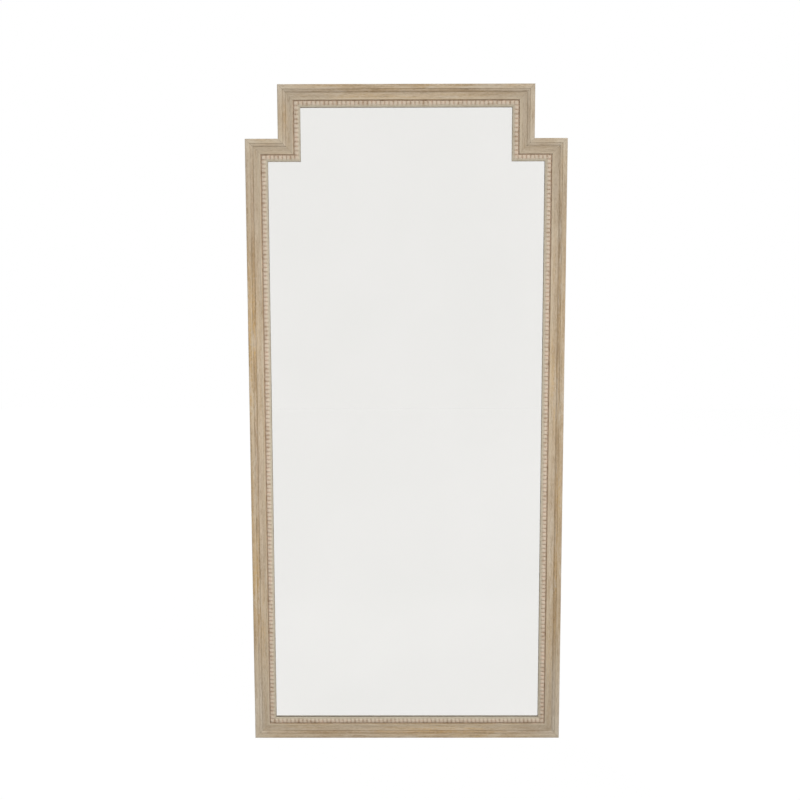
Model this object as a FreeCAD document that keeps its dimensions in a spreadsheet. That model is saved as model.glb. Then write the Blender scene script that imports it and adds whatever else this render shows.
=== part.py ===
# A tall wall mirror: a stepped frame of eight mitred mouldings with a ribbed bead liner round the glass.
import FreeCAD, Part
import math
import os
import Sketcher

# Frame: +X to the viewer's right, +Z up, the front faces -Y. The origin is the middle of the
# frame's lower rear edge, so the wood's back lies on y = 0 and its underside on z = 0.

SIZES = {
    # Outline of the frame
    "frame_width": 1016,
    "frame_height": 2134,
    "shoulder_width": 104,
    "neck_height": 167,
    "frame_depth": 40,
    # Front of the outer moulding, from its outer edge inwards; a drop is measured from the front plane
    "moulding_width": 48,
    "edge_round": 3,
    "band_width": 14.5,
    "quirk_width": 1.5,
    "quirk_drop": 2.2,
    "ovolo_width": 8,
    "ovolo_radius": 9,
    "ovolo_top_drop": 1.5,
    "ovolo_foot_drop": 4.6,
    "step_width": 2,
    "step_drop": 5.4,
    "cove_drop": 3.8,
    "cove_radius": 40,
    "arris_width": 1.6,
    "arris_drop": 3.6,
    "arris_fall": 1.8,
    # Ribbed bead liner
    "deep_quirk_width": 3,
    "deep_quirk_drop": 8,
    "bead_width": 14.5,
    "bead_flank": 4,
    "bead_crown": 3.5,
    "bead_drop": 3.3,
    "bead_foot_drop": 6.2,
    "rib_pitch": 13.5,
    "notch_half_width": 5.9,
    "notch_floor": 0.1,
    "lip_width": 4.5,
    "lip_drop": 7.2,
    # Glass, its stops and the back panel
    "glass_drop": 12,
    "glass_thickness": 5,
    "glass_cover": 10,
    "glass_clearance": 2,
    "stop_width": 12,
    "panel_thickness": 5,
    "panel_recess": 2,
    "panel_ledge": 18,
    "panel_clearance": 1,
    "point_width": 10,
    "point_length": 18,
    "point_thickness": 0.6,
    "point_bite": 9,
    "point_clearance": 0.05,
    "point_spacing": 300,
    "block_length": 80,
    "block_offset": 254,
    # Loose splines in the mitres
    "spline_length": 50,
    "spline_half_width": 9,
    "spline_thickness": 4,
    "spline_inset": 29,
    "spline_height": 16,
    "spline_clearance": 0.1,
    # Hanger screws
    "screw_head_radius": 4,
    "screw_head_height": 2.2,
    "screw_radius": 1.9,
    "screw_bite": 14,
    "screw_clearance": 0.1,
    # Ring hangers
    "hanger_height": 1600,
    "hanger_inset": 20,
    "strap_width": 20,
    "strap_length": 72,
    "strap_sheet": 1.2,
    "strap_slope": 9,
    "strap_corner": 6,
    "strap_hole_first": 44,
    "strap_hole_gap": 18,
    "wire_radius": 2,
    "wire_clearance": 0.05,
    "ring_half_width": 16,
    "ring_leg": 12,
    "ring_corner": 5,
    "ring_rest_gap": 0.3,
    # Wall bumpers
    "bumper_side": 22,
    "bumper_taper": 2,
    "bumper_height": 8,
    "bumper_low": 120,
    "bumper_spread": 260,
}

doc = FreeCAD.newDocument("framed_mirror")
dim = doc.addObject("Spreadsheet::Sheet", "dim")
for row, (alias, number) in enumerate(SIZES.items(), start=1):
    dim.set(f"A{row}", alias.replace("_", " "))
    dim.set(f"B{row}", str(number))
    dim.setAlias(f"B{row}", alias)
doc.recompute()

# Sizes that follow from the driving ones, as expressions
FRONT = "dim.frame_depth"
FACE = "(dim.moulding_width + dim.deep_quirk_width + dim.bead_width + dim.lip_width)"
GLASS_FRONT = "(dim.frame_depth - dim.glass_drop)"
GLASS_BACK = f"({GLASS_FRONT} - dim.glass_thickness)"
GLASS_EDGE = f"({FACE} - dim.glass_cover)"
RABBET = f"({GLASS_EDGE} - dim.glass_clearance)"
PANEL_SEAT = f"({RABBET} - dim.panel_ledge)"
PANEL_FRONT = "(dim.panel_recess + dim.panel_thickness)"
BEAD_OUTER = "(dim.moulding_width + dim.deep_quirk_width)"
BEAD_INNER = f"({BEAD_OUTER} + dim.bead_width)"
BEAD_LINE = f"({BEAD_OUTER} + dim.bead_width / 2)"
HALF_WIDTH = "(dim.frame_width / 2)"
NECK_X = f"({HALF_WIDTH} - dim.shoulder_width)"
SHOULDER_Z = "(dim.frame_height - dim.neck_height)"
TOP_LENGTH = f"(2 * {NECK_X})"
WIRE_BORE = "(dim.wire_radius + dim.wire_clearance)"
PIVOT_Y = f"({WIRE_BORE} + dim.strap_sheet)"
PIVOT_X = f"({HALF_WIDTH} - dim.hanger_inset)"
PILOT_RADIUS = "(dim.screw_radius + dim.screw_clearance)"
SAW_MARGIN = "dim.frame_depth"

HEADINGS = ("right", "up", "left", "down")

# The strips run anticlockwise seen from the front: heading, start x, start z, length, corner at each end
MEMBERS = {
    "bottom": ("right", f"-{HALF_WIDTH}", "0", "dim.frame_width", "convex", "convex"),
    "stile_right": ("up", HALF_WIDTH, "0", SHOULDER_Z, "convex", "convex"),
    "shoulder_right": ("left", HALF_WIDTH, SHOULDER_Z, "dim.shoulder_width", "convex", "re-entrant"),
    "neck_right": ("up", NECK_X, SHOULDER_Z, "dim.neck_height", "re-entrant", "convex"),
    "top": ("left", NECK_X, "dim.frame_height", TOP_LENGTH, "convex", "convex"),
    "neck_left": ("down", f"-{NECK_X}", "dim.frame_height", "dim.neck_height", "convex", "re-entrant"),
    "shoulder_left": ("left", f"-{NECK_X}", SHOULDER_Z, "dim.shoulder_width", "re-entrant", "convex"),
    "stile_left": ("down", f"-{HALF_WIDTH}", SHOULDER_Z, SHOULDER_Z, "convex", "convex"),
}

STRAP_HOLES = ["dim.strap_hole_first", "(dim.strap_hole_first + dim.strap_hole_gap)"]

nodes = []


def number(expression):
    """The number that an expression gives with the sheet's present sizes."""
    return float(dim.evalExpression(expression))


def new_body(name):
    body = doc.addObject("PartDesign::Body", name)
    nodes.append(body)
    return body


def new_sketch(body, plane, offset="0"):
    """A sketch on one of the body's own origin planes, moved along the plane's normal."""
    sketch = body.newObject("Sketcher::SketchObject", f"{body.Name}_sketch")
    support = next(item for item in body.Origin.OriginFeatures if item.Role == plane)
    sketch.AttachmentSupport = [(support, "")]
    sketch.MapMode = "FlatFace"
    sketch.setExpression("AttachmentOffset.Base.z", offset)
    return sketch


def fix(sketch, kind, *references, expression):
    """Add one driving constraint that follows an expression."""
    index = sketch.addConstraint(Sketcher.Constraint(kind, *references, number(expression)))
    sketch.setExpression(f"Constraints[{index}]", expression)


def arc_through(start, end, radius, side):
    """The minor arc from start to end that bulges to the left or right of its travel."""
    chord = end - start
    sign = 1 if side == "left" else -1
    normal = FreeCAD.Vector(-chord.y, chord.x, 0).normalize() * sign
    rise = math.sqrt(radius**2 - (chord.Length / 2) ** 2)
    middle = (start + end) / 2 + normal * (radius - rise)
    return Part.Arc(start, middle, end)


def draw_loop(sketch, corners):
    """Close a loop of corners (x, y) or (x, y, radius, side), where a radius makes the next edge an arc."""
    points = [FreeCAD.Vector(number(corner[0]), number(corner[1]), 0) for corner in corners]
    edges = []
    for index, corner in enumerate(corners):
        start = points[index]
        end = points[(index + 1) % len(points)]
        if len(corner) == 2:
            edges.append((sketch.addGeometry(Part.LineSegment(start, end), False), 1, 2))
            continue
        arc = arc_through(start, end, number(corner[2]), corner[3])
        edge = sketch.addGeometry(arc, False)
        ends = sorted((1, 2), key=lambda side: (sketch.getPoint(edge, side) - start).Length)
        edges.append((edge, *ends))
    for index, (edge, first, last) in enumerate(edges):
        following, following_first, _ = edges[(index + 1) % len(edges)]
        sketch.addConstraint(Sketcher.Constraint("Coincident", edge, last, following, following_first))
        fix(sketch, "DistanceX", -1, 1, edge, first, expression=corners[index][0])
        fix(sketch, "DistanceY", -1, 1, edge, first, expression=corners[index][1])
        if len(corners[index]) > 2:
            fix(sketch, "Radius", edge, expression=corners[index][2])


def draw_circle(sketch, x, y, radius):
    circle = Part.Circle(FreeCAD.Vector(number(x), number(y), 0), FreeCAD.Vector(0, 0, 1), number(radius))
    edge = sketch.addGeometry(circle, False)
    fix(sketch, "DistanceX", -1, 1, edge, 3, expression=x)
    fix(sketch, "DistanceY", -1, 1, edge, 3, expression=y)
    fix(sketch, "Radius", edge, expression=radius)


def pad(body, sketch, length, symmetric=False):
    feature = body.newObject("PartDesign::Pad", f"{body.Name}_pad")
    feature.Profile = sketch
    feature.SideType = "Symmetric" if symmetric else "One side"
    feature.setExpression("Length", length)
    doc.recompute()
    return feature


def pocket(body, sketch, depth=None, reverse=False):
    """Cut a sketch through the body, or to a depth, and stop if nothing was cut."""
    before = body.Shape.Volume
    feature = body.newObject("PartDesign::Pocket", f"{body.Name}_pocket")
    feature.Profile = sketch
    feature.Reversed = reverse
    feature.Type = "Length" if depth else "ThroughAll"
    if depth:
        feature.setExpression("Length", depth)
    doc.recompute()
    if body.Shape.Volume >= before:
        raise RuntimeError(f"{feature.Name} cuts nothing")
    return feature


def place(item, x, y, z, rotation=None):
    """Set an object's place from three expressions."""
    item.Placement = FreeCAD.Placement(FreeCAD.Vector(0, 0, 0), rotation or FreeCAD.Rotation())
    item.setExpression("Placement.Base.x", x)
    item.setExpression("Placement.Base.y", y)
    item.setExpression("Placement.Base.z", z)


def strip_rotation(member):
    """Turns a strip's own axes (along, inwards, forwards) to its side of the frame."""
    upright = FreeCAD.Rotation(FreeCAD.Vector(1, 0, 0), 90)
    quarter_turns = HEADINGS.index(MEMBERS[member][0])
    return FreeCAD.Rotation(FreeCAD.Vector(0, 1, 0), -90 * quarter_turns) * upright


def mitre_slope(corner):
    """How a mitre runs: 1 where the strip gets shorter inwards, -1 where it gets longer."""
    return 1 if corner == "convex" else -1


def run_between_mitres(member, line):
    """A strip's start and length, as expressions, along a line at some distance inwards."""
    length, first, last = MEMBERS[member][3:]
    start = f"({mitre_slope(first)} * {line})"
    return start, f"({length} - {mitre_slope(first) + mitre_slope(last)} * {line})"


def mitre_corners(corner, length=None):
    """The waste beyond one mitre; with a length, beyond the mitre at the strip's far end."""
    slope = mitre_slope(corner)
    along = [
        f"{-slope} * {SAW_MARGIN}",
        f"{slope} * ({FACE} + {SAW_MARGIN})",
        f"-({FACE} + 2 * {SAW_MARGIN})",
        f"-({FACE} + 2 * {SAW_MARGIN})",
    ]
    if length:
        along = [f"{length} - ({expression})" for expression in along]
    inwards = [f"-{SAW_MARGIN}", f"{FACE} + {SAW_MARGIN}", f"{FACE} + {SAW_MARGIN}", f"-{SAW_MARGIN}"]
    return list(zip(along, inwards))


def mitred_strip(name, member, section):
    """A length of one section, mitred at both ends and placed on its side of the frame."""
    _, start_x, start_z, length, first, last = MEMBERS[member]
    body = new_body(name)
    run_in = "0" if first == "convex" else FACE
    run_out = "0" if last == "convex" else FACE
    profile = new_sketch(body, "YZ_Plane", f"-({run_in})")
    draw_loop(profile, section)
    pad(body, profile, f"{length} + {run_in} + {run_out}")
    waste = new_sketch(body, "XY_Plane")
    draw_loop(waste, mitre_corners(first))
    draw_loop(waste, mitre_corners(last, length))
    pocket(body, waste, reverse=True)
    place(body, start_x, "0", start_z, strip_rotation(member))
    return body


# Sections as (inwards from the outer edge, forwards from the back)
OVOLO_OUTER = "(dim.band_width + dim.quirk_width)"
OVOLO_INNER = f"({OVOLO_OUTER} + dim.ovolo_width)"
MOULDING_SECTION = [
    ("0", "0"),
    (PANEL_SEAT, "0"),
    (PANEL_SEAT, PANEL_FRONT),
    (RABBET, PANEL_FRONT),
    (RABBET, GLASS_FRONT),
    ("dim.moulding_width", GLASS_FRONT),
    ("dim.moulding_width", f"{FRONT} - dim.arris_drop - dim.arris_fall"),
    ("dim.moulding_width - dim.arris_width", f"{FRONT} - dim.arris_drop", "dim.cove_radius", "left"),
    (f"{OVOLO_INNER} + dim.step_width", f"{FRONT} - dim.cove_drop"),
    (f"{OVOLO_INNER} + dim.step_width / 2", f"{FRONT} - dim.step_drop"),
    (OVOLO_INNER, f"{FRONT} - dim.ovolo_foot_drop", "dim.ovolo_radius", "right"),
    (OVOLO_OUTER, f"{FRONT} - dim.ovolo_top_drop"),
    ("dim.band_width + dim.quirk_width / 2", f"{FRONT} - dim.quirk_drop"),
    ("dim.band_width", FRONT),
    ("dim.edge_round", FRONT, "dim.edge_round", "right"),
    ("0", f"{FRONT} - dim.edge_round"),
]
LINER_SECTION = [
    ("dim.moulding_width", GLASS_FRONT),
    (FACE, GLASS_FRONT),
    (FACE, f"{FRONT} - dim.lip_drop"),
    (BEAD_INNER, f"{FRONT} - dim.bead_foot_drop"),
    (f"{BEAD_OUTER} + dim.bead_flank + dim.bead_crown", f"{FRONT} - dim.bead_drop"),
    (f"{BEAD_OUTER} + dim.bead_flank", f"{FRONT} - dim.bead_drop"),
    (BEAD_OUTER, f"{FRONT} - dim.deep_quirk_drop"),
    ("dim.moulding_width", f"{FRONT} - dim.deep_quirk_drop"),
]
STOP_SECTION = [
    (RABBET, PANEL_FRONT),
    (f"{RABBET} + dim.stop_width", PANEL_FRONT),
    (f"{RABBET} + dim.stop_width", GLASS_BACK),
    (RABBET, GLASS_BACK),
]


def spline_corners(corner, clearance, length=None):
    """A flat spline that lies across one mitre; with a length, across the mitre at the strip's far end."""
    slope = mitre_slope(corner)
    reach = f"(dim.spline_length / 2 + {clearance}) * sqrt(0.5)"
    half = f"(dim.spline_half_width + {clearance}) * sqrt(0.5)"
    corners = []
    for end, side in (("-", -1), ("+", -1), ("+", 1), ("-", 1)):
        middle = f"(dim.spline_inset {end} {reach})"
        along = f"{slope} * {middle} + {side} * {half}"
        inwards = f"{middle} - {side * slope} * {half}"
        corners.append((f"{length} - ({along})" if length else along, inwards))
    return corners


def cut_spline_slots(body, member):
    """A slot across each mitre, for the loose spline."""
    length, first, last = MEMBERS[member][3:]
    clearance = "dim.spline_clearance"
    floor = f"dim.spline_height - dim.spline_thickness / 2 - {clearance}"
    sketch = new_sketch(body, "XY_Plane", floor)
    draw_loop(sketch, spline_corners(first, clearance))
    draw_loop(sketch, spline_corners(last, clearance, length))
    pocket(body, sketch, f"dim.spline_thickness + 2 * {clearance}", reverse=True)


def point_stations(member):
    """Where the framer's points stand along a member, from its start, evenly spaced between its mitres."""
    start, run = run_between_mitres(member, PANEL_SEAT)
    count = max(1, round(number(run) / number("dim.point_spacing")))
    return [f"({start} + {run} * {2 * k + 1} / {2 * count})" for k in range(count)]


def cut_point_slots(body, member):
    """Thin slots in the wall round the back panel, for the framer's points."""
    sketch = new_sketch(body, "XY_Plane", "dim.panel_recess - dim.point_thickness - dim.point_clearance")
    half = "(dim.point_width / 2 + dim.point_clearance)"
    inner = f"{PANEL_SEAT} + dim.panel_clearance"
    outer = f"{PANEL_SEAT} - dim.point_bite - dim.point_clearance"
    for station in point_stations(member):
        left = f"{station} - {half}"
        right = f"{station} + {half}"
        draw_loop(sketch, [(left, outer), (right, outer), (right, inner), (left, inner)])
    pocket(body, sketch, "dim.point_thickness + 2 * dim.point_clearance", reverse=True)


def hanger_stations(member):
    """Where the hanger screws stand along a stile, from its start."""
    heights = [f"(dim.hanger_height - {hole})" for hole in STRAP_HOLES]
    if member == "stile_right":
        return heights
    if member == "stile_left":
        return [f"{MEMBERS[member][3]} - {height}" for height in heights]
    return []


def drill_pilots(body, member):
    """Blind pilot holes for the hanger's screws in the back of a stile."""
    sketch = new_sketch(body, "XY_Plane")
    for station in hanger_stations(member):
        draw_circle(sketch, station, "dim.hanger_inset", PILOT_RADIUS)
    pocket(body, sketch, "dim.screw_bite + dim.screw_clearance", reverse=True)


def make_moulding(member):
    rails = ("bottom", "top")
    body = mitred_strip(f"{member}_rail" if member in rails else member, member, MOULDING_SECTION)
    cut_spline_slots(body, member)
    cut_point_slots(body, member)
    if hanger_stations(member):
        drill_pilots(body, member)


def make_liner(member):
    """A bead liner whose bead is notched into ribs, with a whole number of ribs between its mitres."""
    body = mitred_strip(f"bead_{member}", member, LINER_SECTION)
    start, run = run_between_mitres(member, BEAD_LINE)
    count = f"round({run} / dim.rib_pitch)"
    pitch = f"({run} / {count})"
    station = f"{start} + {pitch} / 2"
    sketch = new_sketch(body, "XZ_Plane")
    notch = [
        (station, f"{FRONT} - dim.bead_foot_drop + dim.notch_floor"),
        (f"{station} + dim.notch_half_width", FRONT),
        (f"{station} - dim.notch_half_width", FRONT),
    ]
    draw_loop(sketch, notch)
    cut = pocket(body, sketch)
    ribs = body.newObject("PartDesign::LinearPattern", f"{body.Name}_ribs")
    along = next(item for item in body.Origin.OriginFeatures if item.Role == "X_Axis")
    ribs.Originals = [cut]
    ribs.Direction = (along, [""])
    ribs.setExpression("Length", f"{run} - {pitch}")
    ribs.setExpression("Occurrences", count)
    body.Tip = ribs
    doc.recompute()


def stepped_outline(inset):
    """The frame's eight-cornered outline, drawn in by an inset."""
    half = f"({HALF_WIDTH} - {inset})"
    neck = f"({NECK_X} - {inset})"
    shoulder = f"({SHOULDER_Z} - {inset})"
    top = f"(dim.frame_height - {inset})"
    right = [(half, inset), (half, shoulder), (neck, shoulder), (neck, top)]
    left = [(f"-{x}", z) for x, z in reversed(right)]
    return right + left


def make_pane():
    body = new_body("mirror_pane")
    sketch = new_sketch(body, "XZ_Plane", GLASS_BACK)
    draw_loop(sketch, stepped_outline(GLASS_EDGE))
    pad(body, sketch, "dim.glass_thickness")


def make_panel():
    body = new_body("back_panel")
    sketch = new_sketch(body, "XZ_Plane", "dim.panel_recess")
    draw_loop(sketch, stepped_outline(f"({PANEL_SEAT} + dim.panel_clearance)"))
    pad(body, sketch, "dim.panel_thickness")


def group(name, members):
    """One node for identical pieces that stay separate solids."""
    compound = doc.addObject("Part::Compound", name)
    compound.Links = members
    nodes.append(compound)


def make_screw(x, y, z, length):
    """A pan-head screw driven forwards into the back, its thread as six flats; y is under its head."""
    forwards = FreeCAD.Rotation(FreeCAD.Vector(1, 0, 0), 90)
    head = doc.addObject("Part::Cylinder", "screw_head")
    head.setExpression("Radius", "dim.screw_head_radius")
    head.setExpression("Height", "dim.screw_head_height")
    place(head, x, f"{y} + dim.screw_head_height", z, forwards)
    shank = doc.addObject("Part::Prism", "screw_shank")
    shank.Polygon = 6
    shank.setExpression("Circumradius", "dim.screw_radius")
    shank.setExpression("Height", length)
    place(shank, x, y, z, forwards)
    screw = doc.addObject("Part::Fuse", "screw")
    screw.Base = head
    screw.Tool = shank
    return screw


def make_screws():
    screws = []
    for side in ("", "-"):
        for hole in STRAP_HOLES:
            z = f"dim.hanger_height - {hole}"
            length = "2 * dim.strap_sheet + dim.screw_bite"
            screws.append(make_screw(f"{side}{PIVOT_X}", "2 * dim.strap_sheet", z, length))
    group("hanger_screws", screws)


def on_strip(member, along, inwards, forwards):
    """The x, y and z of a place on a strip, from its distances along, inwards and forwards."""
    heading, start_x, start_z = MEMBERS[member][:3]
    along_x = int(heading == "right") - int(heading == "left")
    along_z = int(heading == "up") - int(heading == "down")
    x = f"{start_x} + {along_x} * ({along}) + {-along_z} * ({inwards})"
    z = f"{start_z} + {along_z} * ({along}) + {along_x} * ({inwards})"
    return x, f"-({forwards})", z


def make_points():
    """Flat steel framer's points, driven into the mouldings behind the back panel."""
    points = []
    for member in MEMBERS:
        for station in point_stations(member):
            point = doc.addObject("Part::Box", "point")
            point.setExpression("Length", "dim.point_width")
            point.setExpression("Width", "dim.point_length")
            point.setExpression("Height", "dim.point_thickness")
            along = f"{station} - dim.point_width / 2"
            inwards = f"{PANEL_SEAT} - dim.point_bite"
            corner = on_strip(member, along, inwards, "dim.panel_recess - dim.point_thickness")
            place(point, *corner, strip_rotation(member))
            points.append(point)
    group("panel_points", points)


def make_splines():
    """One flat spline lies across each of the eight mitres."""
    splines = []
    for member, (_, start_x, start_z, _, corner, _) in MEMBERS.items():
        body = doc.addObject("PartDesign::Body", "spline")
        sketch = new_sketch(body, "XY_Plane", "dim.spline_height - dim.spline_thickness / 2")
        draw_loop(sketch, spline_corners(corner, "0"))
        pad(body, sketch, "dim.spline_thickness")
        place(body, start_x, "0", start_z, strip_rotation(member))
        splines.append(body)
    group("mitre_splines", splines)


def make_setting_blocks():
    """Two rubber blocks carry the glass's lower edge off the rabbet."""
    blocks = []
    for side in ("", "-"):
        block = doc.addObject("Part::Box", "setting_block")
        block.setExpression("Length", "dim.block_length")
        block.setExpression("Width", "dim.glass_thickness")
        block.setExpression("Height", "dim.glass_clearance")
        place(block, f"{side}dim.block_offset - dim.block_length / 2", f"-{GLASS_FRONT}", RABBET)
        blocks.append(block)
    group("setting_blocks", blocks)


def make_bumpers():
    """Tapered rubber bumpers low on the stiles and on the top rail keep the frame off the wall."""
    base = "dim.bumper_side / 2"
    tip = "(dim.bumper_side / 2 - dim.bumper_taper)"
    bumpers = []
    for side in ("", "-"):
        low = (f"{side}{PIVOT_X}", "dim.bumper_low")
        high = (f"{side}dim.bumper_spread", "dim.frame_height - dim.hanger_inset")
        for x, z in (low, high):
            bumper = doc.addObject("Part::Wedge", "bumper")
            bumper.Ymin = 0
            bumper.setExpression("Ymax", "dim.bumper_height")
            for axis in ("X", "Z"):
                bumper.setExpression(f"{axis}min", f"-{base}")
                bumper.setExpression(f"{axis}max", base)
                bumper.setExpression(f"{axis}2min", f"-{tip}")
                bumper.setExpression(f"{axis}2max", tip)
            place(bumper, x, "0", z)
            bumpers.append(bumper)
    group("wall_bumpers", bumpers)


def make_strap(name, side):
    """A strap folded round the ring's bar, with both layers screwed to the stile."""
    body = new_body(name)
    profile = new_sketch(body, "YZ_Plane")
    outer_layer = f"2 * dim.strap_sheet - {PIVOT_Y}"
    outline = [
        (f"-{PIVOT_Y}", "-dim.strap_length"),
        (outer_layer, "-dim.strap_length"),
        (outer_layer, "-dim.strap_slope"),
        (PIVOT_Y, "0", PIVOT_Y, "right"),
        ("0", PIVOT_Y, PIVOT_Y, "right"),
        (f"-{PIVOT_Y}", "0"),
    ]
    draw_loop(profile, outline)
    draw_circle(profile, "0", "0", WIRE_BORE)
    pad(body, profile, "dim.strap_width", symmetric=True)
    holes = new_sketch(body, "XZ_Plane", PIVOT_Y)
    for hole in STRAP_HOLES:
        draw_circle(holes, "0", f"-{hole}", PILOT_RADIUS)
    drilled = pocket(body, holes)
    end = -number("dim.strap_length")
    corners = []
    for index, edge in enumerate(drilled.Shape.Edges, start=1):
        box = edge.BoundBox
        across = box.YLength > number("dim.strap_sheet") and box.XLength < number("dim.wire_clearance")
        if across and box.ZMax < end + number("dim.wire_clearance"):
            corners.append(f"Edge{index}")
    rounding = body.newObject("PartDesign::Fillet", f"{name}_corners")
    rounding.Base = (drilled, corners)
    rounding.setExpression("Radius", "dim.strap_corner")
    body.Tip = rounding
    doc.recompute()
    place(body, f"{side}{PIVOT_X}", PIVOT_Y, "dim.hanger_height")


# The wire's round section, drawn with six flats
WIRE_SECTION = []
for flat in range(6):
    turn = f"{60 * flat} deg"
    WIRE_SECTION.append((f"dim.wire_radius * cos({turn})", f"dim.wire_radius * sin({turn})"))


def make_ring(name, side):
    """A D-shaped wire ring that hangs by its bar, just clear of its strap."""
    body = new_body(name)
    path = new_sketch(body, "XZ_Plane")
    half = "dim.ring_half_width"
    corner = "dim.ring_corner"
    bow = f"-(dim.ring_leg + {half})"
    outline = [
        ("0", "0"),
        (f"-({half} - {corner})", "0", corner, "right"),
        (f"-{half}", f"-{corner}"),
        (f"-{half}", "-dim.ring_leg", half, "right"),
        ("0", bow, half, "right"),
        (half, "-dim.ring_leg"),
        (half, f"-{corner}", corner, "right"),
        (f"{half} - {corner}", "0"),
    ]
    draw_loop(path, outline)
    section = new_sketch(body, "YZ_Plane")
    draw_loop(section, WIRE_SECTION)
    wire = body.newObject("PartDesign::AdditivePipe", f"{name}_wire")
    wire.Profile = section
    wire.Spine = (path, [])
    doc.recompute()
    lift = "(2 * dim.strap_sheet + dim.ring_rest_gap + dim.wire_radius)"
    rest_angle = f"asin(({lift} - {PIVOT_Y}) / (dim.ring_leg + {half}))"
    tilt = FreeCAD.Rotation(FreeCAD.Vector(1, 0, 0), 1)
    place(body, f"{side}{PIVOT_X}", PIVOT_Y, "dim.hanger_height", tilt)
    body.setExpression("Placement.Rotation.Angle", rest_angle)


def write_nodes():
    """Stop on any failed object or bad shape, then write one file for each node."""
    doc.recompute()
    failed = [item.Name for item in doc.Objects if {"Invalid", "Error"} & set(item.State)]
    if failed:
        raise RuntimeError(f"these objects failed: {failed}")
    for node in nodes:
        if node.Shape.isNull() or not node.Shape.isValid() or not node.Shape.Solids:
            raise RuntimeError(f"{node.Label} has no valid shape")
    os.makedirs("parts", exist_ok=True)
    for node in nodes:
        node.Shape.exportStep(f"parts/{node.Label}.step")
        print(node.Label, len(node.Shape.Solids), round(node.Shape.Volume))


for each_member in MEMBERS:
    make_moulding(each_member)
for each_member in MEMBERS:
    make_liner(each_member)
for each_member in MEMBERS:
    mitred_strip(f"stop_{each_member}", each_member, STOP_SECTION)
make_pane()
make_panel()
make_splines()
make_setting_blocks()
make_screws()
make_points()
make_bumpers()
for each_side, sign in (("right", ""), ("left", "-")):
    make_strap(f"hanger_strap_{each_side}", sign)
    make_ring(f"hanger_ring_{each_side}", sign)
write_nodes()
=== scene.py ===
# The looks of a tall framed mirror: limed oak mouldings, a ribbed bead liner, glass and steel hangers.
import math
import bmesh
import bpy
from mathutils import Matrix, Vector


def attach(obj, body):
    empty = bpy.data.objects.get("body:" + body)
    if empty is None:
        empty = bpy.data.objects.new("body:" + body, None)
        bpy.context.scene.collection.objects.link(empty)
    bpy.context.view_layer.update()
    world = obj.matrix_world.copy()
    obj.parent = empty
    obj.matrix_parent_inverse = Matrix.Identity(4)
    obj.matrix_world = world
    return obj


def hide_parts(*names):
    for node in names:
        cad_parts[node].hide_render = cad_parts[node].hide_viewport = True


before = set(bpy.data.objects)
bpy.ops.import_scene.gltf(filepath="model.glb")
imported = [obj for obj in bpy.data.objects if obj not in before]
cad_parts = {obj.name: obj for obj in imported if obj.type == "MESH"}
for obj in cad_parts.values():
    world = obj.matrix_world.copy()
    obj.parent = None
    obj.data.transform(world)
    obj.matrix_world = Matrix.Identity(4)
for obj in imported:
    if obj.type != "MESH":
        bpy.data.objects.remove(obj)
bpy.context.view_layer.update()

MM = 0.001
WIDTH = 1.016
HEIGHT = 2.134
SHOULDER = 0.104
NECK = 0.167
HALF = WIDTH / 2
NECK_X = HALF - SHOULDER
SHOULDER_Z = HEIGHT - NECK

# Each strip: start (x, z), direction (x, z), length, and the slope of the mitre at each end
STRIPS = {
    "bottom": ((-HALF, 0), (1, 0), WIDTH, 1, 1),
    "stile_right": ((HALF, 0), (0, 1), SHOULDER_Z, 1, 1),
    "shoulder_right": ((HALF, SHOULDER_Z), (-1, 0), SHOULDER, 1, -1),
    "neck_right": ((NECK_X, SHOULDER_Z), (0, 1), NECK, -1, 1),
    "top": ((NECK_X, HEIGHT), (-1, 0), 2 * NECK_X, 1, 1),
    "neck_left": ((-NECK_X, HEIGHT), (0, -1), NECK, 1, -1),
    "shoulder_left": ((-NECK_X, SHOULDER_Z), (-1, 0), SHOULDER, -1, 1),
    "stile_left": ((-HALF, SHOULDER_Z), (0, -1), SHOULDER_Z, 1, 1),
}


# Node materials

def tint(red, green, blue):
    """A display colour of 0 to 255 as the linear colour that shaders take."""
    linear = []
    for level in (red, green, blue):
        share = level / 255
        linear.append(share / 12.92 if share <= 0.04045 else ((share + 0.055) / 1.055) ** 2.4)
    return (*linear, 1)


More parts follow.
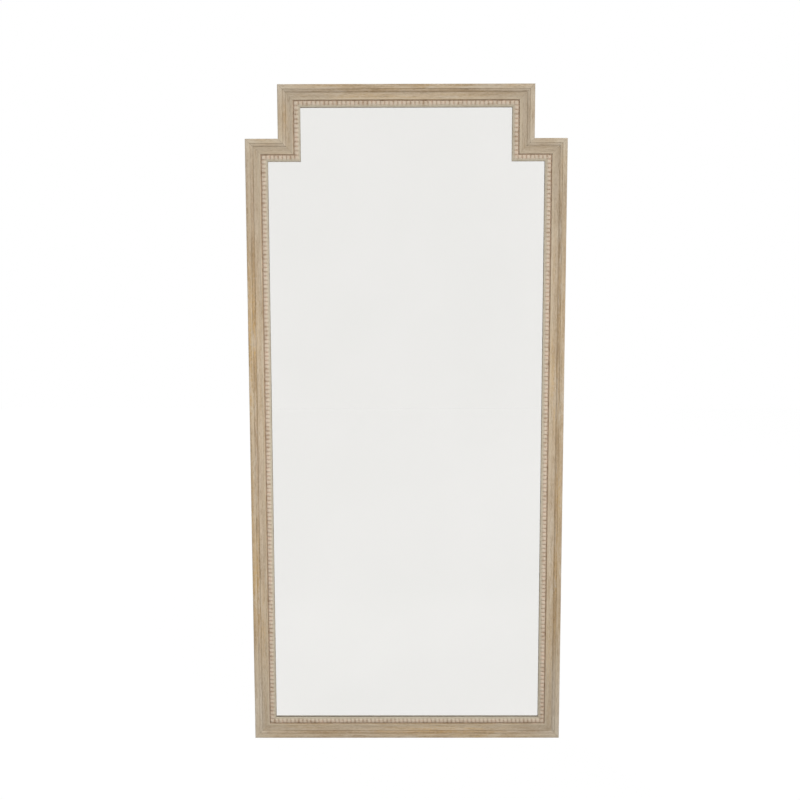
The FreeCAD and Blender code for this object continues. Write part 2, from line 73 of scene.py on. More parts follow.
class Recipe:
    """Builds the nodes of a material or world."""

    def __init__(self, holder):
        holder.use_nodes = True
        self.holder = holder
        self.tree = holder.node_tree
        self.tree.nodes.clear()

    def add(self, kind, output=0, settings=None, **inputs):
        """Add a node and return one of its outputs.

        An input is given by its name, or by its number as i0, i1 and so on. A socket is linked to it,
        and any other value is set on it.
        """
        node = self.tree.nodes.new(f"ShaderNode{kind}")
        for name, value in (settings or {}).items():
            setattr(node, name, value)
        for name, value in inputs.items():
            number = name[1:]
            socket = node.inputs[int(number) if number.isdigit() else name.replace("_", " ")]
            if isinstance(value, bpy.types.NodeSocket):
                self.tree.links.new(value, socket)
            else:
                socket.default_value = value
        return node.outputs[output] if node.outputs else None

    def stretched(self, vector, *scale):
        return self.add("Mapping", Vector=vector, Scale=scale)

    def noise(self, vector, detail=3, roughness=0.5, distortion=0):
        shape = {"Detail": detail, "Roughness": roughness, "Distortion": distortion}
        return self.add("TexNoise", Vector=vector, Scale=1, **shape)

    def span(self, value, low, high, to_low=0, to_high=1):
        """Carry a range of values over to another, smoothly."""
        settings = {"interpolation_type": "SMOOTHSTEP"}
        return self.add("MapRange", 0, settings, i0=value, i1=low, i2=high, i3=to_low, i4=to_high)

    def math(self, operation, first, second):
        return self.add("Math", 0, {"operation": operation}, i0=first, i1=second)

    def mix(self, share, first, second, blend="MIX"):
        settings = {"data_type": "RGBA", "blend_type": blend}
        return self.add("Mix", 2, settings, i0=share, i6=first, i7=second)

    def ramp(self, value, *stops):
        node = self.add("ValToRGB", Fac=value).node
        elements = node.color_ramp.elements
        while len(elements) < len(stops):
            elements.new(1)
        for element, (place, colour) in zip(elements, stops):
            element.position = place
            element.color = colour
        return node.outputs[0]

    def attribute(self, name):
        return self.add("Attribute", 2, {"attribute_name": name})

    def bump(self, height, strength, distance):
        return self.add("Bump", Height=height, Strength=strength, Distance=distance)

    def finish(self, **inputs):
        """Close a material with its surface and return it."""
        shader = self.add("BsdfPrincipled", **inputs)
        self.add("OutputMaterial", Surface=shader)
        return self.holder


def recipe(name):
    return Recipe(bpy.data.materials.new(name))


def limed_oak():
    """Wire-brushed oak under a greyish lime wash, with darker glaze and painted shade in its quirks, and
    rubbed arrises with painted highlights.
    """
    r = recipe("limed_oak")
    strip = r.add("UVMap", 0, {"uv_map": "strip"})
    board = r.noise(r.stretched(strip, 2.3, 26, 1), detail=3, roughness=0.55)
    drift = r.noise(r.stretched(strip, 7, 48, 1), detail=4, roughness=0.65, distortion=0.6)
    streak = r.noise(r.stretched(strip, 7, 190, 1), detail=4, roughness=0.6, distortion=0.3)
    fibre = r.noise(r.stretched(strip, 34, 480, 1), detail=4, roughness=0.6)
    mottle = r.noise(r.stretched(strip, 105, 230, 1), detail=3, roughness=0.6)
    pore = r.noise(r.stretched(strip, 70, 1250, 1), detail=3, roughness=0.55)
    hue = r.ramp(
        board,
        (0.32, tint(183, 163, 139)),
        (0.46, tint(189, 167, 136)),
        (0.56, tint(194, 166, 125)),
        (0.68, tint(203, 167, 110)),
    )
    shaded = r.mix(r.span(streak, 0.32, 0.51, 0.8, 0), hue, tint(149, 128, 98))
    washed = r.mix(r.span(streak, 0.51, 0.66, 0, 0.7), shaded, tint(208, 190, 164))
    clouded = r.mix(r.span(mottle, 0.45, 0.62, 0, 0.7), washed, tint(200, 178, 151))
    browned = r.mix(r.span(drift, 0.36, 0.50, 0.4, 0), clouded, tint(164, 138, 106))
    pooled = r.math("MULTIPLY", r.attribute("lime"), r.span(drift, 0.34, 0.56, 0.6, 1.0))
    whitened = r.math("MAXIMUM", pooled, r.span(drift, 0.52, 0.63, 0, 0.55))
    powdered = r.mix(whitened, browned, tint(212, 200, 181))
    brushed = r.mix(r.span(fibre, 0.50, 0.68, 0, 0.55), powdered, tint(150, 126, 99))
    opened = r.mix(r.span(pore, 0.34, 0.42, 0.6, 0), brushed, tint(138, 114, 86))
    limed = r.mix(r.span(pore, 0.58, 0.66, 0, 0.6), opened, tint(215, 203, 186))
    # Darker glaze in the quirks, steps and grooves: partly real glaze, partly painted shade in the recesses
    glazed_and_shaded = r.mix(r.math("MULTIPLY", r.attribute("glaze_and_shade"), 0.9), limed, tint(160, 146, 124), "MULTIPLY")
    # Lighter rubbed arrises: partly real wear, partly a painted highlight where the edges catch the light
    worn_and_highlit = r.math("MULTIPLY", r.attribute("rub_and_highlight"), r.span(streak, 0.3, 0.6, 0.25, 0.8))
    rubbed_and_highlit = r.mix(worn_and_highlit, glazed_and_shaded, tint(213, 199, 173))
    unwashed = r.mix(r.span(fibre, 0.4, 0.7), tint(196, 164, 122), tint(172, 137, 96))
    coloured = r.mix(r.attribute("raw"), rubbed_and_highlit, unwashed)
    relief = r.math("SUBTRACT", r.math("MULTIPLY", fibre, 0.7), r.math("MULTIPLY", pore, 0.35))
    return r.finish(
        Base_Color=coloured,
        Roughness=r.span(fibre, 0.35, 0.7, 0.56, 0.72),
        Specular_IOR_Level=0.3,
        Normal=r.bump(relief, 0.45, 0.0007),
    )


def limed_bead():
    """The paler wash on the ribbed liner, with glaze and painted shade left in the notches, and painted
    highlights where it is rubbed.
    """
    r = recipe("limed_bead")
    strip = r.add("UVMap", 0, {"uv_map": "strip"})
    patch = r.noise(r.stretched(strip, 38, 60, 1), detail=2)
    fibre = r.noise(r.stretched(strip, 30, 520, 1), detail=4, roughness=0.6)
    pore = r.noise(r.stretched(strip, 90, 1900, 1), detail=2)
    wash = r.ramp(
        patch,
        (0.34, tint(192, 168, 144)),
        (0.50, tint(211, 193, 172)),
        (0.66, tint(213, 189, 167)),
    )
    greyed = r.mix(r.math("MULTIPLY", r.attribute("lip"), 0.75), wash, tint(190, 182, 160))
    brushed = r.mix(r.span(fibre, 0.47, 0.70, 0, 0.55), greyed, tint(163, 138, 110))
    limed = r.mix(r.span(pore, 0.56, 0.70, 0, 0.5), brushed, tint(222, 212, 197))
    # Darker in the notches and the groove: partly real glaze, partly painted shade
    glaze_and_shade = r.math("MULTIPLY", r.attribute("glaze_and_shade"), r.span(patch, 0.3, 0.6, 0.95, 0.7))
    glazed_and_shaded = r.mix(glaze_and_shade, limed, tint(168, 142, 118), "MULTIPLY")
    # Lighter on the crowns and the sight edge: partly rubbed wear, partly painted highlight and painted
    # light
    rubbed_and_highlit = r.mix(r.math("MULTIPLY", r.attribute("rub_and_highlight"), 0.7), glazed_and_shaded, tint(224, 211, 191))
    relief = r.math("ADD", r.math("MULTIPLY", fibre, 0.6), r.math("MULTIPLY", pore, 0.3))
    return r.finish(
        Base_Color=rubbed_and_highlit,
        Roughness=r.span(fibre, 0.35, 0.7, 0.55, 0.7),
        Specular_IOR_Level=0.3,
        Normal=r.bump(relief, 0.35, 0.0005),
    )


def sawn_wood(name, pale, dark, axis_scale):
    """Plain unfinished wood with open pores; the scale is smallest along the grain, if it has one."""
    r = recipe(name)
    place = r.add("TexCoord", 3)
    figure = r.noise(r.stretched(place, *axis_scale), detail=5, roughness=0.6, distortion=1.2)
    fibre = r.noise(r.stretched(place, *[12 * scale for scale in axis_scale]), detail=4, roughness=0.65)
    pore = r.noise(r.stretched(place, *[60 * scale for scale in axis_scale]), detail=2)
    colour = r.mix(r.span(figure, 0.34, 0.68), pale, dark)
    shaded = r.mix(r.span(fibre, 0.42, 0.72, 0, 0.55), colour, dark)
    pored = r.mix(r.span(pore, 0.58, 0.72, 0, 0.45), shaded, tint(128, 98, 66))
    return r.finish(
        Base_Color=pored,
        Roughness=r.span(fibre, 0.3, 0.7, 0.6, 0.8),
        Specular_IOR_Level=0.25,
        Normal=r.bump(r.math("SUBTRACT", fibre, pore), 0.3, 0.0004),
    )


def silvering():
    """The metal coat behind the glass, faintly uneven."""
    r = recipe("silvering")
    place = r.add("TexCoord", 3)
    haze = r.noise(r.stretched(place, 3, 3, 3), detail=2)
    colour = r.mix(r.span(haze, 0.3, 0.7), (0.836, 0.826, 0.808, 1), (0.848, 0.836, 0.820, 1))
    return r.finish(Base_Color=colour, Metallic=1.0, Roughness=0.0)


def float_glass():
    """Clear glass, a little green, with dust too faint to dull it."""
    r = recipe("float_glass")
    place = r.add("TexCoord", 3)
    dust = r.noise(r.stretched(place, 240, 240, 240), detail=4)
    colour = r.mix(r.span(dust, 0.3, 0.8), (0.994, 1.0, 0.996, 1), (0.988, 0.994, 0.99, 1))
    return r.finish(Base_Color=colour, Roughness=0.0, IOR=1.52, Transmission_Weight=1.0)


def plated_steel(name, bright, dull, low, high):
    """Zinc-plated steel with faint spangle and handling marks."""
    r = recipe(name)
    place = r.add("TexCoord", 3)
    spangle = r.add("TexVoronoi", 0, None, Vector=place, Scale=420.0)
    smear = r.noise(r.stretched(place, 160, 160, 60), detail=4, roughness=0.6)
    colour = r.mix(r.span(smear, 0.35, 0.7), bright, dull)
    return r.finish(
        Base_Color=r.mix(r.span(spangle, 0.2, 0.8, 0, 0.25), colour, dull),
        Metallic=1.0,
        Roughness=r.span(smear, 0.3, 0.7, low, high),
        Normal=r.bump(smear, 0.08, 0.0002),
    )


def soft_rubber():
    """Black rubber with a fine grain and a little dust."""
    r = recipe("rubber")
    place = r.add("TexCoord", 3)
    grain = r.noise(r.stretched(place, 900, 900, 900), detail=3)
    dust = r.noise(r.stretched(place, 60, 60, 60), detail=4)
    colour = r.mix(r.span(dust, 0.45, 0.75, 0, 0.6), tint(46, 45, 44), tint(74, 72, 70))
    return r.finish(
        Base_Color=colour,
        Roughness=r.span(dust, 0.3, 0.7, 0.7, 0.85),
        Specular_IOR_Level=0.3,
        Normal=r.bump(grain, 0.3, 0.0003),
    )


OAK = limed_oak()
BEAD = limed_bead()
PINE = sawn_wood("pine", tint(222, 192, 146), tint(196, 158, 108), (30, 30, 30))
BEECH = sawn_wood("beech", tint(206, 170, 132), tint(186, 146, 108), (60, 60, 60))
PLYWOOD = sawn_wood("plywood", tint(219, 199, 163), tint(203, 175, 134), (34, 34, 2.2))
SILVER = silvering()
GLASS = float_glass()
ZINC = plated_steel("zinc_steel", (0.57, 0.575, 0.58, 1), (0.36, 0.365, 0.37, 1), 0.32, 0.48)
RING_STEEL = plated_steel("ring_steel", (0.62, 0.61, 0.58, 1), (0.43, 0.425, 0.40, 1), 0.18, 0.32)
RUBBER = soft_rubber()


# Mesh helpers

def new_piece(name, points, faces, material, body, nodes, crease):
    """A mesh piece with outward faces, smooth except at creases, riding on a body in place of CAD nodes."""
    mesh = bpy.data.meshes.new(name)
    mesh.from_pydata(points, [], faces)
    work = bmesh.new()
    work.from_mesh(mesh)
    bmesh.ops.recalc_face_normals(work, faces=work.faces)
    work.to_mesh(mesh)
    work.free()
    mesh.shade_smooth()
    mesh.set_sharp_from_angle(angle=math.radians(crease))
    mesh.materials.append(material)
    piece = bpy.data.objects.new(name, mesh)
    bpy.context.scene.collection.objects.link(piece)
    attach(piece, body)
    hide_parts(*nodes)
    return piece


def paint(piece, name, values):
    """Store one number for each vertex, for the material to read."""
    piece.data.attributes.new(name, "FLOAT", "POINT").data.foreach_set("value", values)


def unwrap(piece, places):
    """Give each vertex its (along, across) place on its strip, for the grain to follow."""
    layer = piece.data.uv_layers.new(name="strip")
    for loop, corner in zip(piece.data.loops, layer.data):
        corner.uv = places[loop.vertex_index]


def bands(rows, width, closed=False):
    """Faces that join rows of points, each row a ring; closed joins the last row to the first."""
    faces = []
    for row in range(rows if closed else rows - 1):
        low, high = row * width, (row + 1) % rows * width
        for step in range(width):
            following = (step + 1) % width
            faces.append((low + step, low + following, high + following, high + step))
    return faces


def caps(rows, width):
    """The faces that fill the first and the last of such rows."""
    return [list(range(width)), list(range((rows - 1) * width, rows * width))]


def emptied(work):
    """The points and faces of a bmesh that isn't needed any more."""
    work.verts.index_update()
    points = [tuple(vertex.co) for vertex in work.verts]
    faces = [[vertex.index for vertex in face.verts] for face in work.faces]
    work.free()
    return points, faces


def on_strip(strip, along, inwards, forwards):
    """The point at these distances on a strip: along it, in from its outer edge, out from its back."""
    (x, z), (run_x, run_z) = STRIPS[strip][:2]
    return (x + run_x * along - run_z * inwards, -forwards, z + run_z * along + run_x * inwards)


def on_board(index, along, across):
    """A place in the grain; each strip is cut from a board of its own, far from the others."""
    board_along, board_across = 5.1, 1.7
    return (along + board_along * index, across + board_across * index)


def arc(centre, radius, first, last, count):
    """Points on an arc, from one angle to another in degrees."""
    points = []
    for step in range(count + 1):
        turn = math.radians(first + (last - first) * step / count)
        points.append((centre[0] + radius * math.cos(turn), centre[1] + radius * math.sin(turn)))
    return points


def arc_between(start, end, radius, side, count):
    """Sharp corners between two ends, on the minor arc that bulges to the left (1) or right (-1)."""
    start, end = Vector(start), Vector(end)
    chord = end - start
    normal = Vector((-chord.y, chord.x)).normalized() * side
    rise = math.sqrt(radius ** 2 - (chord.length / 2) ** 2)
    centre = (start + end) / 2 - normal * rise
    corners = []
    for step in range(1, count):
        straight = start + chord * step / count
        corners.append((*(centre + (straight - centre).normalized() * radius), 0))
    return corners


def soften(outline):
    """Round the corners (x, y, radius) of a closed outline."""
    count = 3
    rounded = []
    for index, (x, y, size) in enumerate(outline):
        corner = Vector((x, y))
        if not size:
            rounded.append((x, y))
            continue
        before = (Vector(outline[index - 1][:2]) - corner).normalized()
        after = (Vector(outline[(index + 1) % len(outline)][:2]) - corner).normalized()
        half = before.angle(after) / 2
        reach = size / math.tan(half)
        ends = (corner + before * reach, corner + after * reach)
        centre = corner + (before + after).normalized() * size / math.sin(half)
        for step in range(count + 1):
            straight = ends[0].lerp(ends[1], step / count)
            rounded.append(tuple(centre + (straight - centre).normalized() * size))
    return rounded


# Mouldings: a closed section (inwards, forwards) in mm, swept between the mitres

COVE_INNER, COVE_OUTER = (46.4, 36.4), (26, 36.2)
OVOLO_INNER, OVOLO_OUTER = (24, 35.4), (16, 38.5)
EDGE_FRONT, EDGE_SIDE = (3, 40), (0, 37)

# From the back round the inside to the front, each corner with its radius
SECTION = soften([
    (0, 0, 0.8),
    # Rabbets of the back panel, the glass and the bead liner
    (40, 0, 0.4),
    (40, 7, 0),
    (58, 7, 0.4),
    (58, 28, 0.3),
    (48, 28, 0),
    (48, 34.6, 0.6),
    # Cove, step, ovolo, quirk, flat band and rounded edge
    (*COVE_INNER, 0.7),
    *arc_between(COVE_INNER, COVE_OUTER, 40, 1, 10),
    (*COVE_OUTER, 0.4),
    (25, 34.6, 0.3),
    (*OVOLO_INNER, 0.3),
    *arc_between(OVOLO_INNER, OVOLO_OUTER, 9, -1, 8),
    (*OVOLO_OUTER, 0.3),
    (15.25, 37.8, 0.2),
    (14.5, 40, 0.5),
    (*EDGE_FRONT, 0),
    *arc_between(EDGE_FRONT, EDGE_SIDE, 3, -1, 6),
    (*EDGE_SIDE, 0),
])

# Glaze left, with painted shade, at the step, the quirk and the ovolo: inwards and reach in mm, and
# strength
GLAZE_AND_SHADE = ((25, 1.5, 0.65), (15.3, 1.0, 0.45), (20, 5, 0.22))
# Wood rubbed, with a painted highlight, at the inner arris, the cove's outer edge, the band's inner edge,
# the cove and the outer edge
RUB_AND_HIGHLIGHT = ((46.4, 1.8, 1.0), (26.2, 1.0, 0.5), (14.3, 1.0, 0.5), (46.4, 18, 0.35), (1.0, 1.6, 0.4))
MITRE_GAP = 0.12 * MM


def near(value, centre, reach):
    """1 at the centre, falling to 0 at the reach."""
    return max(0.0, 1 - abs(value - centre) / reach)


def strongest(spots, inwards):
    """The greatest strength that any of the spots (place, reach, strength) has here."""
    return max(strength * near(inwards, place, reach) for place, reach, strength in spots)


def moulding_glaze_and_shade(inwards, forwards):
    """How much glaze and painted shade the front of the moulding has here, most of it in the groove beside
    the liner.
    """
    front = 30
    if forwards < front:
        return 0.0
    # Painted shade, with glaze, in the deep groove beside the liner
    by_liner = 0.85 * near(inwards, 48.3, 1.2) * near(forwards, 31, 4.5)
    return max(strongest(GLAZE_AND_SHADE, inwards), by_liner)


def moulding_rub_and_highlight(inwards, forwards):
    """How much the wash is rubbed off here, with a painted highlight, on the front only."""
    below_arrises = 35.2
    return 0.0 if forwards < below_arrises else strongest(RUB_AND_HIGHLIGHT, inwards)


def make_moulding(index, strip, node):
    """One strip, with rows of points close together where its finish changes towards the mitres."""
    length, first, last = STRIPS[strip][2:]
    is_stile = strip.startswith("stile")
    lime_reach = (340 if is_stile else 200) * MM
    offsets = [MITRE_GAP, 1.5 * MM, 14 * MM, min(70 * MM, 0.3 * length), min(200 * MM, 0.45 * length)]
    if is_stile:
        offsets.append(lime_reach)
    rows = [("start", offset) for offset in offsets] + [("end", offset) for offset in reversed(offsets)]
    points, places, glaze_and_shade, rub_and_highlight, raw, lime = [], [], [], [], [], []
    girth = [0.0]
    for here, there in zip(SECTION, SECTION[1:]):
        girth.append(girth[-1] + math.dist(here, there))
    for end, offset in rows:
        at_foot = (strip, end) in (("stile_right", "start"), ("stile_left", "end"))
        corner = near(offset, 0, lime_reach)
        for (inwards, forwards), reached in zip(SECTION, girth):
            u = inwards * MM
            along = first * u + offset if end == "start" else length - last * u - offset
            points.append(on_strip(strip, along, u, forwards * MM))
            places.append(on_board(index, along, reached * MM))
            in_joint = 0.35 if offset == MITRE_GAP and forwards > 20 else 0.0
            in_cove = forwards > 34 and COVE_OUTER[0] < inwards < 46
            in_hollow = 0.25 * corner if in_cove else 0.0
            glaze_and_shade.append(max(in_joint, in_hollow, moulding_glaze_and_shade(inwards, forwards)))
            rub_and_highlight.append(moulding_rub_and_highlight(inwards, forwards))
            hidden_or_back = forwards < 29 and inwards > 0.9
            raw.append(1.0 if hidden_or_back else 0.0)
            on_flat = min(1.0, 1.6 * corner) if at_foot else 0.8 * corner ** 2
            lime.append(0.3 + 0.3 * corner if in_cove else on_flat)
    faces = caps(len(rows), len(SECTION)) + bands(len(rows), len(SECTION))
    piece = new_piece(f"moulding_{node}", points, faces, OAK, "frame", [node], crease=32)
    unwrap(piece, places)
    paint(piece, "glaze_and_shade", glaze_and_shade)
    paint(piece, "rub_and_highlight", rub_and_highlight)
    paint(piece, "raw", raw)
    paint(piece, "lime", lime)


# Bead liners: a height field of rounded ribs on a strip, cut at the mitres

LINER_OUTER = 48
SIGHT_EDGE = 70
BEAD_OUTER = 51
BEAD_WIDTH = 14.5
BEAD_LINE = 58.25 * MM
RIB_PITCH = 13.5 * MM

# Rows of points across the bead, as shares of its width, and along a rib, in pitches from its middle
ACROSS = [0.0, 0.04, 0.09, 0.15, 0.22, 0.3, 0.41, 0.52, 0.64, 0.76, 0.88, 1.0]
RIB_STEPS = [-0.5, -0.45, -0.39, -0.31, -0.21, -0.09, 0.09, 0.21, 0.31, 0.39, 0.45]

# Inwards and forwards in mm, glaze and painted shade, and the share across the bead where a rib sets the
# height and the glaze and shade
# The floor of the groove beside the moulding has glaze and painted shade
LINER_SECTION = [(LINER_OUTER, 28, 0.0, None), (LINER_OUTER, 32, 0.7, None), (50.8, 32, 0.7, None)]
LINER_SECTION += [(BEAD_OUTER + BEAD_WIDTH * share, None, None, share) for share in ACROSS]
LINER_SECTION += [(66.2, 33.65, 0.0, None), (69.3, 32.9, 0.0, None), (69.8, 32.65, 0.0, None)]
LINER_SECTION += [(SIGHT_EDGE, 32.2, 0.0, None), (SIGHT_EDGE, 28, 0.0, None)]


def rib_height(along, across):
    """Height in mm over the back, and how far up the rib it is; along in pitches from a rib's middle."""
    crest, crest_height, end_share, half_rib = 0.58, 36.7, 0.14, 1 / 2.1
    floor = 33.3 + 0.5 * across
    outer = max(0.0, crest - across) / crest
    inner = max(0.0, across - crest) / (1 - crest)
    crown = crest_height - 2.0 * outer ** 2 - 2.9 * inner ** 1.6
    end = max(0.0, end_share - across) / end_share
    bulge = math.sqrt(max(0.0, 1 - (along / half_rib) ** 2 - end ** 2))
    return floor + (crown - floor) * bulge, bulge


def make_liner(index, strip):
    """One strip of ribs; its rows run past the mitres, and each point is held back to the mitre."""
    length, first, last = STRIPS[strip][2:]
    run = length - (first + last) * BEAD_LINE
    count = round(run / RIB_PITCH)
    pitch = run / count
    margin = 14 * MM
    edges = (LINER_OUTER * MM, SIGHT_EDGE * MM)
    begin = min(first * edge for edge in edges) - margin
    finish = max(length - last * edge for edge in edges) + margin
    stations = []
    for rib in range(-2, count + 3):
        for step in RIB_STEPS:
            along = first * BEAD_LINE + (rib + step) * pitch
            if begin < along < finish:
                stations.append(along)
    points, places, glaze_and_shade, rub_and_highlight, greyed = [], [], [], [], []
    for along in stations:
        for inwards, forwards, dark, across in LINER_SECTION:
            u = inwards * MM
            held = min(max(along, first * u), length - last * u)
            bulge = 0.0
            if across is not None:
                phase = (held - first * BEAD_LINE) / pitch
                forwards, bulge = rib_height(phase - round(phase), across)
                # Glaze and painted shade in the notches between the ribs, deepest where a rib falls away
                dark = 0.48 * (1 - bulge) ** 1.6 * (1 - 0.7 * across)
            points.append(on_strip(strip, held, u, forwards * MM))
            places.append(on_board(index, held, u))
            glaze_and_shade.append(dark)
            # Painted light: the sight edge's wall, in shade by the glass, is lightened in full; the rib
            # crowns are lighter, partly rubbed wear and partly a painted highlight
            on_sight_edge = inwards > SIGHT_EDGE - 0.5
            rub_and_highlight.append(1.0 if on_sight_edge else max(0.0, bulge - 0.72) * 2.0)
            greyed.append(min(1.0, max(0.0, (inwards - 60) / 6)))
    faces = caps(len(stations), len(LINER_SECTION)) + bands(len(stations), len(LINER_SECTION))
    nodes = [f"bead_{strip}"]
    piece = new_piece(f"liner_{strip}", points, faces, BEAD, "frame", nodes, crease=50)
    unwrap(piece, places)
    paint(piece, "glaze_and_shade", glaze_and_shade)
    paint(piece, "rub_and_highlight", rub_and_highlight)
    paint(piece, "lip", greyed)
    # Points held at the same place on a mitre become one
    work = bmesh.new()
    work.from_mesh(piece.data)
    bmesh.ops.remove_doubles(work, verts=work.verts, dist=0.02 * MM)
    bmesh.ops.dissolve_degenerate(work, edges=work.edges, dist=0.01 * MM)
    work.to_mesh(piece.data)
    work.free()


for number, name in enumerate(STRIPS):
    make_moulding(number, name, f"{name}_rail" if name in ("bottom", "top") else name)
    make_liner(number, name)


# The pane: clear glass with its arrises seamed, silvered on the back

def make_pane():
    """Its outline follows the strips, a constant way in from the frame's outer edge."""
    inset, arris, front, back = 60, 0.5, 27.95, 23
    rows = ((arris, front), (0, front - arris), (0, back + arris), (arris, back))
    points = []
    for step_in, forwards in rows:
        u = (inset + step_in) * MM
        for strip in STRIPS:
            points.append(on_strip(strip, STRIPS[strip][3] * u, u, forwards * MM))
    faces = bands(len(rows), len(STRIPS)) + caps(len(rows), len(STRIPS))
    piece = new_piece("pane", points, faces, GLASS, "frame", ["mirror_pane"], crease=20)
    piece.data.materials.append(SILVER)
    piece.data.polygons[-1].material_index = 1


make_pane()


# Hangers and bumpers on the back

FOLD_MIDDLE = 3.25
PIVOT_X = HALF - 0.020
PIVOT_Y = FOLD_MIDDLE * MM
PIVOT_Z = 1.600
# At rest the ring's lower end, 28 mm below its bar, lies 1.45 mm farther from the wood
REST_ANGLE = math.asin(1.45 / 28)


def make_ring(side, sign):
    """A round steel wire bent to a D, hanging by its straight bar."""
    radius, half, leg, bend, sides = 2, 16, 12, 5, 16
    mid_leg = (leg + bend) / 2
    line = [(step * (half - bend) / 4, 0) for step in range(-4, 5)]
    line += arc((half - bend, -bend), bend, 90, 0, 8)[1:]
    line += [(half, -mid_leg)]
    line += arc((0, -leg), half, 0, -180, 36)
    line += [(-half, -mid_leg)]
    line += arc((bend - half, -bend), bend, 180, 90, 8)[:-1]
    points = []
    for index, (x, z) in enumerate(line):
        before, after = Vector(line[index - 1]), Vector(line[(index + 1) % len(line)])
        tangent = (after - before).normalized()
        outwards = Vector((-tangent.y, tangent.x))
        for step in range(sides):
            turn = 2 * math.pi * step / sides
            flat, deep = radius * math.cos(turn), radius * math.sin(turn)
            points.append(Vector((x + outwards.x * flat, deep, z + outwards.y * flat)) * MM)
    swing = Matrix.Translation((sign * PIVOT_X, PIVOT_Y, PIVOT_Z)) @ Matrix.Rotation(REST_ANGLE, 4, "X")
    points = [tuple(swing @ point) for point in points]
    faces = bands(len(line), sides, closed=True)
    body, nodes = f"ring_{side}", [f"hanger_ring_{side}"]
    new_piece(f"ring_wire_{side}", points, faces, RING_STEEL, body, nodes, crease=80)


def make_strap(side, sign):
    """A steel strip folded back on itself round the ring's bar, with rounded lower corners."""
    sheet, length, half_width, corner, slack = 1.2, 72, 10, 6, 0.04
    first_layer, second_layer = 0.5 * sheet, 1.5 * sheet
    rises = (0, 0.3, 1, 2, 3.5, 6, 20, 50)
    # The sheet's middle line (y, z): up the wood, round the bar, down a slope and along the first layer
    line = [(first_layer, -length + rise) for rise in rises] + [(first_layer, -0.2)]
    line += arc((FOLD_MIDDLE, 0), FOLD_MIDDLE - first_layer, 180, 20, 16)
    line += [(5.3, -1.2), (2.5, -7.4), (1.95, -8.6), (second_layer, -9.6)]
    line += [(second_layer, -length + rise) for rise in reversed(rises)]
    # Its section, in half widths and in thicknesses, with the arrises broken
    section = [(-1, -0.35), (-0.985, -0.5), (0.985, -0.5), (1, -0.35)]
    section += [(1, 0.35), (0.985, 0.5), (-0.985, 0.5), (-1, 0.35)]
    points = []
    for index, (y, z) in enumerate(line):
        before = Vector(line[max(index - 1, 0)])
        after = Vector(line[min(index + 1, len(line) - 1)])
        tangent = (after - before).normalized()
        normal = Vector((-tangent.y, tangent.x))
        above_end = min(corner, z + length)
        half = half_width - corner + math.sqrt(corner ** 2 - (corner - above_end) ** 2)
        for wide, thick in section:
            shift = normal * thick * (sheet - slack)
            across = sign * PIVOT_X + wide * half * MM
            points.append((across, (y + shift.x) * MM, PIVOT_Z + (z + shift.y) * MM))
    faces = caps(len(line), len(section)) + bands(len(line), len(section))
    nodes = [f"hanger_strap_{side}"]
    new_piece(f"strap_{side}", points, faces, ZINC, "frame", nodes, crease=40)


def make_screws():
    """Pan-head screws with a cross recess, one mesh for the four."""
    sides, top, recess_floor, strap_face = 32, 2.18, 1.0, 2.4
    # Radius and rise of the head, from its seat to the rim of its flat top
    dome = [(4.0, 0.0), (4.0, 0.7), (3.85, 1.3), (3.4, 1.85), (2.9, 2.1), (2.5, top)]
    cross = []
    for quarter in range(4):
        turn = math.radians(90 * quarter)
        for x, z in ((1.7, -0.38), (1.7, 0.38), (0.42, 0.42)):
            cross.append((x * math.cos(turn) - z * math.sin(turn), x * math.sin(turn) + z * math.cos(turn)))
    work = bmesh.new()
    for sign in (1, -1):
        for hole in (44, 62):
            middle = Vector((sign * PIVOT_X, strap_face * MM, PIVOT_Z - hole * MM))
            lean = Matrix.Rotation(math.radians(23 * hole + 31 * sign), 3, "Y")
            rings = []
            for radius, rise in dome:
                ring = []
                for step in range(sides):
                    turn = 2 * math.pi * step / sides
                    spot = Vector((radius * math.cos(turn), rise, radius * math.sin(turn))) * MM
                    ring.append(work.verts.new(middle + lean @ spot))
                rings.append(ring)
            mouth, floor = [], []
            for x, z in cross:
                mouth.append(work.verts.new(middle + lean @ Vector((x, top, z)) * MM))
            for x, z in cross:
                floor.append(work.verts.new(middle + lean @ Vector((0.8 * x, recess_floor, 0.8 * z)) * MM))
            work.faces.new(rings[0])
            for low, high in (*zip(rings, rings[1:]), (mouth, floor)):
                for step in range(len(low)):
                    following = (step + 1) % len(low)
                    work.faces.new((low[step], low[following], high[following], high[step]))
            work.faces.new(floor)
            rim = []
            for loop in (rings[-1], mouth):
                rim += [work.edges.get(pair) for pair in zip(loop, loop[1:] + loop[:1])]
            bmesh.ops.triangle_fill(work, use_beauty=True, edges=rim)
    points, faces = emptied(work)
    new_piece("pan_head_screws", points, faces, ZINC, "frame", ["hanger_screws"], crease=32)


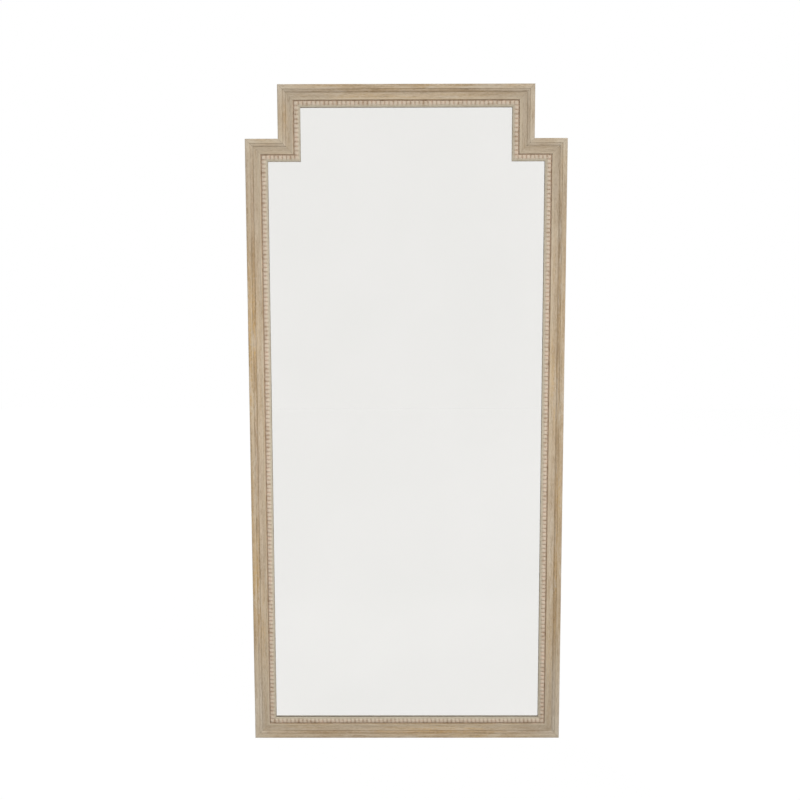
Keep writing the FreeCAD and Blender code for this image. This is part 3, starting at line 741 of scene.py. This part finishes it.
def make_bumpers():
    """Moulded rubber pads with soft edges, one mesh for the four."""
    height, wide_half, narrow_half = 8, 11, 9
    low_pad, high_pad = (PIVOT_X, 0.120), (0.260, HEIGHT - 0.020)
    work = bmesh.new()
    for sign in (1, -1):
        for x, z in (low_pad, high_pad):
            rows = []
            for y, half in ((0, wide_half), (height, narrow_half)):
                corners = ((-half, -half), (half, -half), (half, half), (-half, half))
                rows.append([work.verts.new((sign * x + a * MM, y * MM, z + b * MM)) for a, b in corners])
            work.faces.new(rows[0])
            work.faces.new(rows[1])
            for step in range(4):
                following = (step + 1) % 4
                work.faces.new((rows[0][step], rows[0][following], rows[1][following], rows[1][step]))
    bmesh.ops.recalc_face_normals(work, faces=work.faces)
    upright = [edge for edge in work.edges if abs(edge.verts[0].co.y - edge.verts[1].co.y) > MM]
    bmesh.ops.bevel(work, geom=upright, offset=4 * MM, segments=5, affect="EDGES", profile=0.5)
    rim = [edge for edge in work.edges if all(vertex.co.y > (height - 0.1) * MM for vertex in edge.verts)]
    bmesh.ops.bevel(work, geom=rim, offset=1.2 * MM, segments=4, affect="EDGES", profile=0.5)
    points, faces = emptied(work)
    new_piece("bumper_pads", points, faces, RUBBER, "frame", ["wall_bumpers"], crease=40)


for each_side, each_sign in (("right", 1), ("left", -1)):
    make_ring(each_side, each_sign)
    make_strap(each_side, each_sign)
make_screws()
make_bumpers()


# CAD nodes that stay as they are take their finish here

FINISHES = {"back_panel": PLYWOOD, "mitre_splines": BEECH, "setting_blocks": RUBBER, "panel_points": ZINC}
for name in STRIPS:
    FINISHES[f"stop_{name}"] = PINE
for name, finish in FINISHES.items():
    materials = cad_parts[name].data.materials
    materials.clear()
    materials.append(finish)


# Floor, light and camera

def seen_white(r):
    """1 where the camera looks, also by way of a mirror or glass, and 0 for the light on the object."""
    path = r.add("LightPath").node
    seen = r.math("MAXIMUM", path.outputs["Is Camera Ray"], path.outputs["Is Glossy Ray"])
    return r.math("MAXIMUM", seen, path.outputs["Is Transmission Ray"])


def add_floor():
    """A matt floor that looks white, with a little of its own shade left for the object's shadow."""
    size, level, white_share = 9, -0.0004, 0.92
    corners = [(x, y, level) for x, y in ((-size, -size), (size, -size), (size, size), (-size, size))]
    mesh = bpy.data.meshes.new("floor")
    mesh.from_pydata(corners, [], [(0, 1, 2, 3)])
    r = recipe("floor")
    matt = r.add("BsdfDiffuse", Color=(0.45, 0.45, 0.45, 1))
    white = r.add("Emission", Color=(1, 1, 1, 1), Strength=1.06)
    share = r.math("MULTIPLY", seen_white(r), white_share)
    r.add("OutputMaterial", Surface=r.add("MixShader", i0=share, i1=matt, i2=white))
    mesh.materials.append(r.holder)
    floor = bpy.data.objects.new("floor", mesh)
    bpy.context.scene.collection.objects.link(floor)


def add_world():
    """White to the camera and in reflections, a plain soft light for the rest."""
    world = bpy.data.worlds.new("studio")
    bpy.context.scene.world = world
    r = Recipe(world)
    soft = r.add("Background", Color=(1, 1, 1, 1), Strength=0.27)
    white = r.add("Background", Color=(1, 1, 1, 1), Strength=1.0)
    r.add("OutputWorld", Surface=r.add("MixShader", i0=seen_white(r), i1=soft, i2=white))


def add_lamp(name, place, target, size, power):
    """A soft round lamp that neither the camera nor the glass shows."""
    lamp = bpy.data.lights.new(name, "AREA")
    lamp.shape = "DISK"
    lamp.size = size
    lamp.energy = power
    holder = bpy.data.objects.new(name, lamp)
    holder.location = place
    holder.rotation_euler = (Vector(target) - Vector(place)).to_track_quat("-Z", "Y").to_euler()
    holder.visible_camera = False
    holder.visible_glossy = False
    holder.visible_transmission = False
    bpy.context.scene.collection.objects.link(holder)


def add_camera():
    """The photograph's view: a pinhole fitted to the frame's outline, looking slightly down."""
    focal_pixels, image_width = 1091.3, 800
    pitch, yaw, roll = (math.radians(angle) for angle in (6.565, -0.235, 0.123))
    turn = (
        Matrix.Rotation(-roll, 3, "Y")
        @ Matrix.Rotation(pitch, 3, "X")
        @ Matrix.Rotation(yaw, 3, "Z")
    )
    right, ahead, up = turn
    camera = bpy.data.cameras.new("camera")
    camera.sensor_width = 36
    camera.lens = focal_pixels / image_width * camera.sensor_width
    holder = bpy.data.objects.new("camera", camera)
    stance = Matrix((right, up, -ahead)).transposed().to_4x4()
    stance.translation = (-0.0068, -3.540, 1.5420)
    holder.matrix_world = stance
    bpy.context.scene.collection.objects.link(holder)
    bpy.context.scene.camera = holder


add_floor()
add_world()
add_lamp("key", (5.6, -8.1, 9.4), (0, 0, 1.1), 4.5, 760)
add_lamp("front", (-0.1, -1.75, 1.15), (0, 0, 1.12), 1.4, 13.3)
add_lamp("back", (-6.0, 8.0, 8.0), (0, 0, 1.1), 4.5, 900)
add_camera()
bpy.context.scene.view_settings.view_transform = "Standard"
